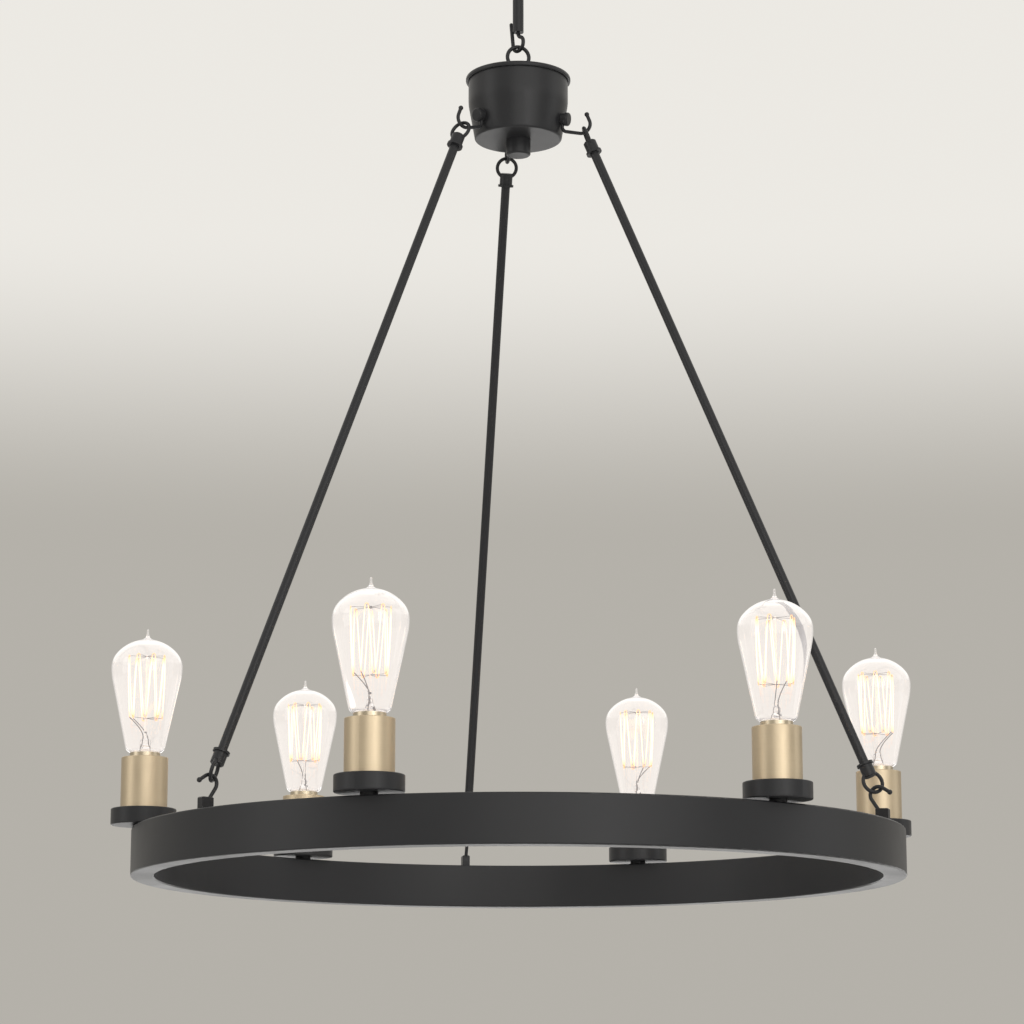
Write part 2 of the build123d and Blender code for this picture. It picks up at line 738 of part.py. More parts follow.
with BuildPart() as lampholders:
    with BuildSketch(Plane.XY.offset(holder_bottom)):
        with socket_places():
            Circle(cup_inner_radius - holder_gap)
    extrude(amount=holder_top - holder_bottom)
    with BuildSketch(Plane.XY.offset(holder_floor_top)):
        with socket_places():
            Circle(shell_outer_radius + slip_fit)
    extrude(amount=holder_top - holder_floor_top, mode=Mode.SUBTRACT)
    with BuildSketch(Plane.XY.offset(holder_bottom)):
        with socket_places():
            Circle(pipe_radius + slip_fit)
    extrude(amount=holder_thread_depth, mode=Mode.SUBTRACT)
save(lampholders.part, "lampholders")

with BuildPart() as screw_shells:
    with BuildSketch(Plane.XY.offset(holder_floor_top)):
        with socket_places():
            Circle(shell_outer_radius)
    extrude(amount=shell_length)
    with BuildSketch(Plane.XY.offset(holder_floor_top + shell_wall)):
        with socket_places():
            Circle(shell_inner_radius)
    extrude(amount=shell_length, mode=Mode.SUBTRACT)
    with BuildSketch(Plane.XY.offset(holder_floor_top)):
        with socket_places():
            Circle(shell_hole_diameter / 2)
    extrude(amount=shell_wall, mode=Mode.SUBTRACT)
save(screw_shells.part, "screw_shells")

with BuildPart() as centre_contacts:
    with BuildSketch(Plane.XY.offset(holder_floor_top)):
        with socket_places():
            Circle(contact_diameter / 2)
    extrude(amount=base_tip - running_gap - holder_floor_top)
save(centre_contacts.part, "centre_contacts")

nipple_bottom = ring_top - ring_wall - pipe_nut_height - socket_nipple_tail
with BuildPart() as socket_nipples:
    with BuildSketch(Plane.XY.offset(nipple_bottom)):
        with socket_places():
            Circle(pipe_radius)
            Circle(pipe_bore / 2, mode=Mode.SUBTRACT)
    extrude(amount=holder_bottom + holder_thread_depth - nipple_bottom)
save(socket_nipples.part, "socket_nipples")

with BuildPart() as socket_nuts:
    with BuildSketch(Plane.XY.offset(ring_top - ring_wall)):
        with socket_places():
            RegularPolygon(socket_nut_width / 2, 6, major_radius=False, rotation=socket_nut_turn)
            Circle(pipe_radius + slip_fit, mode=Mode.SUBTRACT)
    extrude(amount=-pipe_nut_height)
save(socket_nuts.part, "socket_nuts")


# Lamps


def bulb_outline(inset):
    """Half outline of the glass, set in from its outer face: crown, cheek, shoulder arc, flank and neck."""
    equator_radius = bulb_diameter / 2 - inset
    crown_centre = (0, bulb_equator + bulb_dome_height - bulb_crown_radius)
    arc_centre = Vector(bulb_diameter / 2 - bulb_shoulder_radius, bulb_equator)
    shoulder_end = arc_centre + polar(bulb_shoulder_radius - inset, -bulb_flank_angle)
    flank_drop = shoulder_end.Y - bulb_flank_end
    flank_end = Vector(shoulder_end.X - flank_drop * math.tan(math.radians(bulb_flank_angle)), bulb_flank_end)
    neck_radius = bulb_neck_radius - inset
    neck_bottom = base_show - bulb_neck_depth + inset
    dome_top = Vector(0, bulb_equator + bulb_dome_height - inset)
    CenterArc((cheek_offset, bulb_equator), bulb_cheek_radius - inset, 0, cheek_turn)
    CenterArc(crown_centre, bulb_crown_radius - inset, cheek_turn, 90 - cheek_turn)
    ThreePointArc(
        (equator_radius, bulb_equator),
        arc_centre + polar(bulb_shoulder_radius - inset, -bulb_flank_angle / 2),
        shoulder_end,
    )
    flank = Line(shoulder_end, flank_end)
    TangentArc(flank_end, (neck_radius, base_show + inset), tangent=flank % 1)
    Line((neck_radius, base_show + inset), (neck_radius, neck_bottom))
    Line((neck_radius, neck_bottom), (0, neck_bottom))
    Line((0, neck_bottom), dome_top)


def cage_point(strand, at_top):
    """Bend of the filament: neighbours draw together in pairs, at the top and at the bottom by turns."""
    towards_next = (strand % 2 == 0) == at_top
    shift = filament_bend_share * filament_pitch * (1 if towards_next else -1)
    radius = filament_top_radius if at_top else filament_bottom_radius
    place = polar(radius, strand * filament_pitch + shift)
    return (place.X, place.Y, filament_top if at_top else filament_bottom)


def lead_point(strand):
    """End of a lead wire, just above the glass press, in the direction of its strand."""
    place = polar((bulb_press_radius + bulb_rod_radius) / 2, strand * filament_pitch)
    return (place.X, place.Y, bulb_press_height + running_gap)


cage_points = [lead_point(0)]
for strand in range(filament_strands):
    rising = strand % 2 == 0
    cage_points.append(cage_point(strand, not rising))
    cage_points.append(cage_point(strand, rising))
cage_points.append(lead_point(filament_strands - 1))

glass_bottom = base_show - bulb_neck_depth
bulb_crown = bulb_equator + bulb_dome_height
tip_root_height = bulb_crown - bulb_tip_sink
for index in range(socket_count):
    angle = index * 360 / socket_count
    upright = Plane(
        origin=radial_plane(angle).from_local_coords(Vector(socket_circle_radius, cup_rim)),
        x_dir=radial_plane(angle).x_dir,
        z_dir=radial_plane(angle).z_dir,
    )
    level = Plane(origin=upright.origin, x_dir=upright.x_dir)
    bulb_axis = Axis(upright.origin, (0, 0, 1))

    with BuildPart() as bulb_glass:
        with BuildSketch(upright):
            with BuildLine():
                bulb_outline(0)
            make_face()
            with BuildLine():
                bulb_outline(bulb_wall)
            make_face(mode=Mode.SUBTRACT)
            with BuildLine():
                Polyline(
                    (0, tip_root_height),
                    (bulb_tip_root, tip_root_height),
                    (bulb_tip_neck, bulb_crown + bulb_tip_neck_height),
                    (bulb_tip_radius, bulb_tip_height - bulb_tip_radius),
                )
                CenterArc((0, bulb_tip_height - bulb_tip_radius), bulb_tip_radius, 0, 90)
                Line((0, bulb_tip_height), (0, tip_root_height))
            make_face()
            with BuildLine():
                Polyline(
                    (0, glass_bottom),
                    (bulb_stem_radius, glass_bottom),
                    (bulb_press_radius, bulb_press_height),
                    (bulb_rod_radius, bulb_press_height),
                    (bulb_rod_radius, filament_top + bulb_rod_top),
                    (0, filament_top + bulb_rod_top),
                    close=True,
                )
            make_face()
        revolve(axis=bulb_axis)
    save(bulb_glass.part, f"bulb_glass_{index + 1}")

    with BuildPart() as bulb_base:
        with BuildSketch(level.offset(base_bottom - cup_rim)):
            Circle(base_radius)
            Circle(base_radius - base_wall, mode=Mode.SUBTRACT)
        extrude(amount=base_length)
        with BuildSketch(upright):
            with BuildLine():
                Polyline(
                    (0, base_bottom - cup_rim),
                    (base_radius - base_wall, base_bottom - cup_rim),
                    (base_tip_diameter / 2, base_tip + base_tip_height - cup_rim),
                    (base_tip_diameter / 2, base_tip - cup_rim),
                    (0, base_tip - cup_rim),
                    close=True,
                )
            make_face()
        revolve(axis=bulb_axis)
    save(bulb_base.part, f"bulb_base_{index + 1}")

    with BuildPart() as bulb_filament:
        with BuildLine(level) as cage_line:
            cage = Polyline(*cage_points)
        with BuildSketch(Plane(cage @ 0, z_dir=cage % 0)):
            Rectangle(filament_wire, filament_wire)
        sweep(path=cage_line.line, transition=Transition.RIGHT)
        for strand in range(filament_strands - 1):
            at_top = strand % 2 == 0
            bend_radius = filament_top_radius if at_top else filament_bottom_radius
            inner_radius = bulb_rod_radius + slip_fit
            outward = polar(1, (strand + 0.5) * filament_pitch)
            middle = outward * ((bend_radius + inner_radius) / 2)
            height = filament_top if at_top else filament_bottom
            support = Plane(
                origin=level.from_local_coords(Vector(middle.X, middle.Y, height)),
                x_dir=level.from_local_coords(outward) - level.origin,
            )
            with Locations(support):
                Box(bend_radius - inner_radius, support_wire, support_wire)
    save(bulb_filament.part, f"bulb_filament_{index + 1}")
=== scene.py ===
"""Ring chandelier: lamp glass, filaments, finishes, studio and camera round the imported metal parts."""

import json
import math

import bmesh
import bpy
import numpy as np
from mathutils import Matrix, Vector


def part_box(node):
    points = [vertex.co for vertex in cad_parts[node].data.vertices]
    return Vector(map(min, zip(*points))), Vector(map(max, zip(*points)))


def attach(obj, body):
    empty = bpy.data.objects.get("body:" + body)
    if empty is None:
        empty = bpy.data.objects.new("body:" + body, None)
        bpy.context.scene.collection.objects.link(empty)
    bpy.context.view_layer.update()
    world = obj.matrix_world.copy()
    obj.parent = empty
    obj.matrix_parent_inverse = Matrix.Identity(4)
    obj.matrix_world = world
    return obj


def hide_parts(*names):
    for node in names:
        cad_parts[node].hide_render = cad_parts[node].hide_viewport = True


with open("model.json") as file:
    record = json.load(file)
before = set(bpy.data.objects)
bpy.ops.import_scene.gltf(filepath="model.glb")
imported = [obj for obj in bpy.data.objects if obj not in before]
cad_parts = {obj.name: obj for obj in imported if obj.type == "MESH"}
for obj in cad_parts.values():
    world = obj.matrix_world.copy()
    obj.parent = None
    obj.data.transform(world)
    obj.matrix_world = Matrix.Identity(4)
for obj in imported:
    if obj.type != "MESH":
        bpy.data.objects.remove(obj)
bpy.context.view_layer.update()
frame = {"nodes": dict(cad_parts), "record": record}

MM = 0.001
LAMPS = range(1, 7)
LAMP_PITCH = 60
WELD_DISTANCE = 1e-7
OFF_AXIS = 1e-6


# Shapes


def grid_mesh(name, points, wrap_rows=False, wrap_columns=True):
    """Skins of point grids: points[s, i, j] of grid s is joined to its neighbours in row i+1 and column j+1.

    Wrapping joins the last row or column to the first. Rows that shrink to one point become closed poles.
    """
    sheets, rows, columns = points.shape[:3]
    s = np.arange(sheets)[:, None, None] * rows * columns
    i = np.arange(rows if wrap_rows else rows - 1)[None, :, None]
    j = np.arange(columns if wrap_columns else columns - 1)[None, None, :]
    up, side = (i + 1) % rows, (j + 1) % columns
    corners = [s + i * columns + j, s + i * columns + side, s + up * columns + side, s + up * columns + j]
    faces = np.stack(np.broadcast_arrays(*corners), axis=-1).reshape(-1, 4)
    mesh = bpy.data.meshes.new(name)
    mesh.from_pydata(points.reshape(-1, 3), [], faces)
    piece = bpy.data.objects.new(name, mesh)
    bpy.context.scene.collection.objects.link(piece)
    mesh.validate()
    mesh.shade_smooth()
    return piece


def turned(name, profile, centre, steps=96):
    """Surface of revolution: (r, z) at angle t, from 0 to 2 pi, is centre + (r cos t, r sin t, z)."""
    t = np.linspace(0, 2 * np.pi, steps, endpoint=False)
    r, z = profile[:, 0, None], profile[:, 1, None]
    points = np.stack([r * np.cos(t), r * np.sin(t), z + 0 * t], axis=-1) + np.asarray(centre)
    piece = grid_mesh(name, points[None, ::-1])
    weld(piece)
    return piece


def weld(piece):
    """Merges the points of each pole into one and lets every face point outwards."""
    shell = bmesh.new()
    shell.from_mesh(piece.data)
    bmesh.ops.remove_doubles(shell, verts=shell.verts, dist=WELD_DISTANCE)
    bmesh.ops.recalc_face_normals(shell, faces=shell.faces)
    shell.to_mesh(piece.data)
    shell.free()
    piece.data.shade_smooth()


def tubes(paths, radius, sides=8):
    """Round wires: the circle radius (n cos a + b sin a) carried along each path.

    paths[s, i] is point i of wire s about the z axis; n is the outward radial direction made square to
    the path's tangent, and b is tangent x n. The end rings shrink to the path's end points. A hair's
    breadth off the axis gives n a direction on the axis too.
    """
    tangent = np.gradient(paths, axis=1)
    tangent /= np.linalg.norm(tangent, axis=-1, keepdims=True)
    outward = paths * (1, 1, 0) + (OFF_AXIS, 0, 0)
    outward = outward - tangent * np.sum(outward * tangent, axis=-1, keepdims=True)
    outward /= np.linalg.norm(outward, axis=-1, keepdims=True)
    across = np.cross(tangent, outward)
    a = np.linspace(0, 2 * np.pi, sides, endpoint=False)[:, None]
    ring = outward[:, :, None] * np.cos(a) + across[:, :, None] * np.sin(a)
    girth = np.full(paths.shape[1] + 2, radius)
    girth[[0, -1]] = 0
    full = np.concatenate([paths[:, :1], paths, paths[:, -1:]], axis=1)
    ring = np.concatenate([ring[:, :1], ring, ring[:, -1:]], axis=1)
    return full[:, :, None] + ring * girth[None, :, None, None]


def set_in_lamp(points, centre, turn):
    """Points about a lamp's own axis, turned by the lamp's angle and carried to its place on the ring."""
    c, s = math.cos(turn), math.sin(turn)
    return points @ np.array([[c, s, 0], [-s, c, 0], [0, 0, 1]]) + np.asarray(centre)


def wires(name, paths, radius, centre, turn, sides=8):
    """A piece of round wires whose paths are given about the lamp's axis."""
    piece = grid_mesh(name, set_in_lamp(tubes(paths, radius, sides), centre, turn))
    weld(piece)
    return piece


def arc(centre, radius, start, end, count):
    """Points of a circular arc, centre + radius (cos a, sin a), a running from start to end in degrees."""
    a = np.radians(np.linspace(start, end, count))
    return np.stack([centre[0] + radius * np.cos(a), centre[1] + radius * np.sin(a)], axis=-1)


# Lamp sizes in millimetres, with heights above the cup's rim.
# The glass and the filament cage are as wide and as high as the solids that they replace.

BULB_RADIUS = 30.5
BULB_EQUATOR = 78.3
DOME = 24.2
CHEEK = 18.5
SHOULDER = 60.0
FLANK_ANGLE = 12.0
FLANK_END = 9.0
NECK_RADIUS = 12.2
NECK_TOP = 4.0
NECK_BOTTOM = -2.0
NECK_BEND = 0.8
CROWN_STEPS, CHEEK_STEPS, SHOULDER_STEPS, FLANK_STEPS, NECK_STEPS = 26, 22, 14, 24, 14
WALL = 0.8
TIP = 111.5
TIP_RADIUS = 0.95
TIP_FLARE = 4.4
TIP_FALL = 1.5
TIP_REACH = 9.0
TIP_JOIN = 0.6
TIP_STEPS, TIP_END_STEPS = 44, 8

ROD_RADIUS = 1.1
ROD_TOP = 89.0
BEAD_RADIUS = 1.5
BEAD_START = -48
BEAD_ROOT = 3.2
STEM_BOTTOM = -1.0
STEM_RADIUS = 4.5
FOOT_FLARE = 0.9
FOOT_TOP, FOOT_FADE = 3, 1.2
PRESS_WIDTH = 4.7
PRESS_THICKNESS = 1.7
PRESS_START, PRESS_FADE = 9.5, 1.1
PRESS_TOP, PRESS_TOP_FADE = 16.0, 0.55
PRESS_END, ROD_START = PRESS_TOP + 5, PRESS_TOP + 7
PRESS_STEPS, ROD_STEPS, BEAD_STEPS = 44, 6, 14

STRANDS = 14
PITCH = 24.0
BEND_SHARE = 0.3
BEND_RISE = 1.4
STRAND_BOW = 0.5
STRAND_STEPS, BEND_STEPS = 14, 8
CAGE_BOTTOM, CAGE_TOP = 35.0, 87.0
CAGE_LOW_RADIUS, CAGE_HIGH_RADIUS = 14.0, 16.0
FILAMENT_RADIUS = 0.32
SUPPORT_RADIUS = 0.18
SUPPORT_ROOT = 0.7 * ROD_RADIUS
SUPPORT_REACH = 0.4
SUPPORT_EASE = 0.9
SUPPORT_LIFT = 0.9
SUPPORT_STEPS = 12
CURL_START, CURL = 0.55, 9.6
LEAD_RADIUS = 0.4
LEAD_SPREAD = 2.6
LEAD_ROOT_SHARE, LEAD_ROOT = 1.5, 0.5
LEAD_TOP_SHARE, LEAD_TOP = 0.8, PRESS_TOP + 1
LEAD_TURN_SHARE, LEAD_TURN = 0.4, PRESS_TOP + 7
LEAD_RISE_STEPS, LEAD_REACH_STEPS = 10, 40
JOINT_PLACE, JOINT_LENGTH = 0.25, 0.1
JOINT_WAVE, JOINT_TURNS = 0.7, 60


def crown_radius():
    """Radius of the crown's arc, from the dome's height and the cheek, which it meets in one tangent."""
    offset = BULB_RADIUS - CHEEK
    return (DOME**2 + offset**2 - CHEEK**2) / (2 * (DOME - CHEEK))


def bulb_side(inset):
    """Half outline from crown to neck: crown arc, cheek arc, shoulder arc, straight flank, neck curve.

    The neck is a quadratic curve that leaves along the flank and ends upright.
    """
    offset = BULB_RADIUS - CHEEK
    crown = crown_radius()
    turn = math.degrees(math.atan2(crown - DOME, offset))
    slope = np.array([math.tan(math.radians(FLANK_ANGLE)), 1])
    top = arc((0, BULB_EQUATOR + DOME - crown), crown - inset, 90, turn, CROWN_STEPS)
    cheek = arc((offset, BULB_EQUATOR), CHEEK - inset, turn, 0, CHEEK_STEPS)
    shoulder_centre = (BULB_RADIUS - SHOULDER, BULB_EQUATOR)
    shoulder = arc(shoulder_centre, SHOULDER - inset, 0, -FLANK_ANGLE, SHOULDER_STEPS)
    low = shoulder[-1] - slope * (shoulder[-1, 1] - FLANK_END)
    flank = np.linspace(shoulder[-1], low, FLANK_STEPS)
    foot = np.array([NECK_RADIUS - inset, NECK_TOP + inset])
    corner = low - slope * (low[1] - foot[1]) * NECK_BEND
    s = np.linspace(0, 1, NECK_STEPS)[:, None]
    neck = low * (1 - s) ** 2 + corner * 2 * s * (1 - s) + foot * s**2
    stub = np.array([[NECK_RADIUS - inset, NECK_BOTTOM]])
    return np.concatenate([top, cheek[1:], shoulder[1:], flank[1:], neck[1:], stub])


def glass_profile():
    """Closed half outline of the envelope: sealed-off tip, outer face down to the neck, inner face back up.

    With w the distance outside the tip's own radius, the skin stands above the crown by
    fall/4 ln(1 + (flare/w)^4), so the drawn-out tip runs into the crown without an edge.
    A quarter circle rounds off its end.
    """
    outer, inner = bulb_side(0), bulb_side(WALL)
    crown = crown_radius()
    crown_top = BULB_EQUATOR + DOME
    end_height = TIP - TIP_RADIUS - crown_top
    w = np.geomspace(TIP_FLARE * math.exp(-end_height / TIP_FALL), TIP_REACH, TIP_STEPS)
    r = TIP_RADIUS + w
    raised = crown_top - crown + np.sqrt(crown**2 - r**2) + TIP_FALL / 4 * np.log1p((TIP_FLARE / w) ** 4)
    flare = np.stack([r, raised], axis=-1)
    end = arc((0, raised[0]), r[0], 90, 0, TIP_END_STEPS)
    body = outer[outer[:, 0] > r[-1] + TIP_JOIN]
    return np.concatenate([end, flare[1:], body, inner[::-1]]) * MM


def stem_skin(steps=40):
    """Glass stem: at height z an ellipse (a cos t, b sin t), from round foot to flat press to thin rod.

    a and b pass from one radius to the next by smooth steps, and a small bead closes the rod's top.
    """
    press = np.linspace(STEM_BOTTOM, PRESS_END, PRESS_STEPS)
    rod = np.linspace(ROD_START, ROD_TOP - BEAD_ROOT, ROD_STEPS)
    z = np.concatenate([press, rod])

    def step(height, fade):
        """A smooth step from 0 to 1 at a height: 1 / (1 + exp(-(z - height) / fade))."""
        return 1 / (1 + np.exp(-(z - height) / fade))

    foot = STEM_RADIUS + FOOT_FLARE * (1 - step(FOOT_TOP, FOOT_FADE))
    pinch, neck = step(PRESS_START, PRESS_FADE), step(PRESS_TOP, PRESS_TOP_FADE)
    a = (foot + (PRESS_WIDTH - foot) * pinch) * (1 - neck) + ROD_RADIUS * neck
    b = (foot + (PRESS_THICKNESS - foot) * pinch) * (1 - neck) + ROD_RADIUS * neck
    bead = arc((0, ROD_TOP - BEAD_RADIUS), BEAD_RADIUS, BEAD_START, 90, BEAD_STEPS)
    a = np.concatenate([[0], a, bead[:, 0]])
    b = np.concatenate([[0], b, bead[:, 0]])
    z = np.concatenate([z[:1], z, bead[:, 1]])
    t = np.linspace(0, 2 * np.pi, steps, endpoint=False)
    skin = np.stack([a[:, None] * np.cos(t), b[:, None] * np.sin(t), z[:, None] + 0 * t], axis=-1)
    return skin * MM


def cage_corner(strand, at_top):
    """Hook point of a strand: neighbours draw together in pairs, at the top and at the bottom by turns."""
    towards = np.where((strand % 2 == 0) == at_top, 1, -1)
    a = np.radians((strand + BEND_SHARE * towards) * PITCH)
    r, z = (CAGE_HIGH_RADIUS, CAGE_TOP) if at_top else (CAGE_LOW_RADIUS, CAGE_BOTTOM)
    return np.stack([r * np.cos(a), r * np.sin(a), z + 0 * a], axis=-1)


def filament_path():
    """One wire up and down the cage: straight strands joined by half circles that stand past the hooks.

    A strand bows outwards by bow sin(pi s). A half circle over hook points p and q is their middle
    + (p - q)/2 cos t + rise sin t, t from 0 to pi.
    """
    strand = np.arange(STRANDS)
    low, high = cage_corner(strand, False), cage_corner(strand, True)
    rising = (strand % 2 == 0)[:, None]
    start, end = np.where(rising, low, high), np.where(rising, high, low)
    s = np.linspace(0, 1, STRAND_STEPS)[None, :, None]
    radial = start * (1, 1, 0) / np.linalg.norm(start[:, :2], axis=1)[:, None]
    bow = np.sin(np.pi * s) * STRAND_BOW * radial[:, None]
    lines = start[:, None] * (1 - s) + end[:, None] * s + bow
    p, q = end[:-1], start[1:]
    t = np.linspace(0, np.pi, BEND_STEPS)[None, 1:-1, None]
    reach = np.where(rising[:-1], 1, -1)[:, :, None] * np.array([0, 0, BEND_RISE])
    bends = ((p + q) / 2)[:, None] + ((p - q) / 2)[:, None] * np.cos(t) + reach * np.sin(t)
    joined = np.concatenate([lines[:-1], bends], axis=1).reshape(-1, 3)
    return np.concatenate([joined, lines[-1]])[None] * MM


def support_paths():
    """Spokes from the glass rod to the hooks, each curling over its bend of the filament.

    Along s from 0 to 1 the radius eases out by sin(pi s/2)^ease, and the end falls by curl (s - start)^2.
    """
    strand = np.arange(STRANDS - 1)
    at_top = (strand % 2 == 0)[:, None]
    a = np.radians((strand + 0.5) * PITCH)[:, None]
    s = np.linspace(0, 1, SUPPORT_STEPS)[None]
    reach = np.where(at_top, CAGE_HIGH_RADIUS, CAGE_LOW_RADIUS) + SUPPORT_REACH
    r = SUPPORT_ROOT + (reach - SUPPORT_ROOT) * np.sin(s * np.pi / 2) ** SUPPORT_EASE
    lift = np.where(at_top, 1, -1) * (1 - CURL * (s - CURL_START).clip(0) ** 2)
    z = np.where(at_top, CAGE_TOP, CAGE_BOTTOM) + lift * SUPPORT_LIFT
    return np.stack([r * np.cos(a), r * np.sin(a), z + 0 * r], axis=-1) * MM


def lead_paths():
    """Two lead wires: they close in through the press, then curve out to the first and last strand's foot.

    The curve is quadratic and leaves upwards. The twisted joint is a small wave on it,
    wave exp(-((s - place)/length)^2) sin(turns s).
    """
    a = np.radians(np.array([-BEND_SHARE, STRANDS - 1 + BEND_SHARE]) * PITCH)
    r = CAGE_LOW_RADIUS
    foot = np.stack([r * np.cos(a), r * np.sin(a), CAGE_BOTTOM + 0 * a], axis=-1)
    side = np.array([[1.0], [-1.0]]) * np.array([[LEAD_SPREAD, 0.0, 0.0]])
    root = side * LEAD_ROOT_SHARE + (0, 0, LEAD_ROOT)
    leave = side * LEAD_TOP_SHARE + (0, 0, LEAD_TOP)
    turn = side * LEAD_TURN_SHARE + (0, 0, LEAD_TURN)
    s = np.linspace(0, 1, LEAD_RISE_STEPS)[None, :, None]
    rise = root[:, None] * (1 - s) + leave[:, None] * s
    s = np.linspace(0, 1, LEAD_REACH_STEPS)[None, 1:, None]
    reach = leave[:, None] * (1 - s) ** 2 + turn[:, None] * 2 * s * (1 - s) + foot[:, None] * s**2
    fade = np.exp(-(((s - JOINT_PLACE) / JOINT_LENGTH) ** 2))
    wave = fade * np.concatenate([0 * s, np.sin(s * JOINT_TURNS), 0 * s], axis=-1) * JOINT_WAVE
    return np.concatenate([rise, reach + wave], axis=1) * MM


# Finishes

NOISE_LOW, NOISE_HIGH = 0.3, 0.7
LINE_SHARE, CLOUD_SHARE = 0.45, 0.55
RELIEF_DEPTH = 0.0002


def finish(name):
    """A new material with its nodes, links and shader."""
    made = bpy.data.materials.new(name)
    made.use_nodes = True
    tree = made.node_tree
    return made, tree.nodes, tree.links, tree.nodes["Principled BSDF"]


def effect(name, inputs, outputs):
    """An empty shader node group with named sockets, and its nodes, links, entry and exit."""
    group = bpy.data.node_groups.new(name, "ShaderNodeTree")
    for label, kind, value in inputs:
        socket = group.interface.new_socket(name=label, in_out="INPUT", socket_type=kind)
        socket.default_value = value
    for label, kind in outputs:
        group.interface.new_socket(name=label, in_out="OUTPUT", socket_type=kind)
    entry = group.nodes.new("NodeGroupInput")
    leave = group.nodes.new("NodeGroupOutput")
    return group, group.nodes, group.links, entry, leave


def tone_and_gloss(nodes, links, entry, leave, amount):
    """Lets one value run from the dark tone to the light one and from smooth to rough."""
    colour = nodes.new("ShaderNodeMix")
    colour.data_type = "RGBA"
    gloss = nodes.new("ShaderNodeMapRange")
    gloss.inputs["From Min"].default_value = NOISE_LOW
    gloss.inputs["From Max"].default_value = NOISE_HIGH
    links.new(amount, colour.inputs["Factor"])
    links.new(entry.outputs["Dark"], colour.inputs["A"])
    links.new(entry.outputs["Light"], colour.inputs["B"])
    links.new(amount, gloss.inputs["Value"])
    links.new(entry.outputs["Smooth"], gloss.inputs["To Min"])
    links.new(entry.outputs["Rough"], gloss.inputs["To Max"])
    links.new(colour.outputs["Result"], leave.inputs["Color"])
    links.new(gloss.outputs["Result"], leave.inputs["Roughness"])


def speckle_effect():
    """Fine even grain of a sprayed or cast skin: a grain height, and soft patches of tone and roughness."""
    group, nodes, links, entry, leave = effect(
        "fine grain",
        [
            ("Grain Scale", "NodeSocketFloat", 900),
            ("Patch Scale", "NodeSocketFloat", 14),
            ("Dark", "NodeSocketColor", (0.01, 0.01, 0.01, 1)),
            ("Light", "NodeSocketColor", (0.02, 0.02, 0.02, 1)),
            ("Smooth", "NodeSocketFloat", 0.4),
            ("Rough", "NodeSocketFloat", 0.5),
        ],
        [("Color", "NodeSocketColor"), ("Roughness", "NodeSocketFloat"), ("Height", "NodeSocketFloat")],
    )
    place = nodes.new("ShaderNodeTexCoord")
    grain = nodes.new("ShaderNodeTexNoise")
    grain.inputs["Detail"].default_value = 2
    patch = nodes.new("ShaderNodeTexNoise")
    patch.inputs["Detail"].default_value = 4
    patch.inputs["Roughness"].default_value = 0.6
    links.new(place.outputs["Object"], grain.inputs["Vector"])
    links.new(place.outputs["Object"], patch.inputs["Vector"])
    links.new(entry.outputs["Grain Scale"], grain.inputs["Scale"])
    links.new(entry.outputs["Patch Scale"], patch.inputs["Scale"])
    links.new(grain.outputs["Fac"], leave.inputs["Height"])
    tone_and_gloss(nodes, links, entry, leave, patch.outputs["Fac"])
    return group


def brush_effect():
    """Brushed metal: noise stretched level, so that fine lines run round the piece, and a soft cloud."""
    group, nodes, links, entry, leave = effect(
        "brush lines",
        [
            ("Line Scale", "NodeSocketFloat", 2500),
            ("Dark", "NodeSocketColor", (0.4, 0.3, 0.2, 1)),
            ("Light", "NodeSocketColor", (0.6, 0.5, 0.3, 1)),
            ("Smooth", "NodeSocketFloat", 0.3),
            ("Rough", "NodeSocketFloat", 0.45),
        ],
        [("Color", "NodeSocketColor"), ("Roughness", "NodeSocketFloat"), ("Height", "NodeSocketFloat")],
    )
    place = nodes.new("ShaderNodeTexCoord")
    stretch = nodes.new("ShaderNodeMapping")
    stretch.inputs["Scale"].default_value = (0.02, 0.02, 1)
    lines = nodes.new("ShaderNodeTexNoise")
    lines.inputs["Detail"].default_value = 3
    cloud = nodes.new("ShaderNodeTexNoise")
    cloud.inputs["Scale"].default_value = 40
    cloud.inputs["Detail"].default_value = 3
    blend = nodes.new("ShaderNodeMath")
    blend.operation = "MULTIPLY_ADD"
    blend.inputs[1].default_value = LINE_SHARE
    clouded = nodes.new("ShaderNodeMath")
    clouded.operation = "MULTIPLY"
    clouded.inputs[1].default_value = CLOUD_SHARE
    links.new(place.outputs["Object"], stretch.inputs["Vector"])
    links.new(stretch.outputs["Vector"], lines.inputs["Vector"])
    links.new(entry.outputs["Line Scale"], lines.inputs["Scale"])
    links.new(place.outputs["Object"], cloud.inputs["Vector"])
    links.new(cloud.outputs["Fac"], clouded.inputs[0])
    links.new(lines.outputs["Fac"], blend.inputs[0])
    links.new(clouded.outputs[0], blend.inputs[2])
    links.new(lines.outputs["Fac"], leave.inputs["Height"])
    tone_and_gloss(nodes, links, entry, leave, blend.outputs[0])
    return group


fine_grain = speckle_effect()
brush_lines = brush_effect()


def surfaced(name, group, values, bump, metallic=0.0):
    """A finish whose colour, roughness and bump come from one of the effects."""
    made, nodes, links, shader = finish(name)
    skin = nodes.new("ShaderNodeGroup")
    skin.node_tree = group
    for label, value in values.items():
        skin.inputs[label].default_value = value
    relief = nodes.new("ShaderNodeBump")
    relief.inputs["Strength"].default_value = bump
    relief.inputs["Distance"].default_value = RELIEF_DEPTH
    links.new(skin.outputs["Color"], shader.inputs["Base Color"])
    links.new(skin.outputs["Roughness"], shader.inputs["Roughness"])
    links.new(skin.outputs["Height"], relief.inputs["Height"])
    links.new(relief.outputs["Normal"], shader.inputs["Normal"])
    shader.inputs["Metallic"].default_value = metallic
    return made


def tone(r, g, b):
    """A colour with full alpha."""
    return (r, g, b, 1)


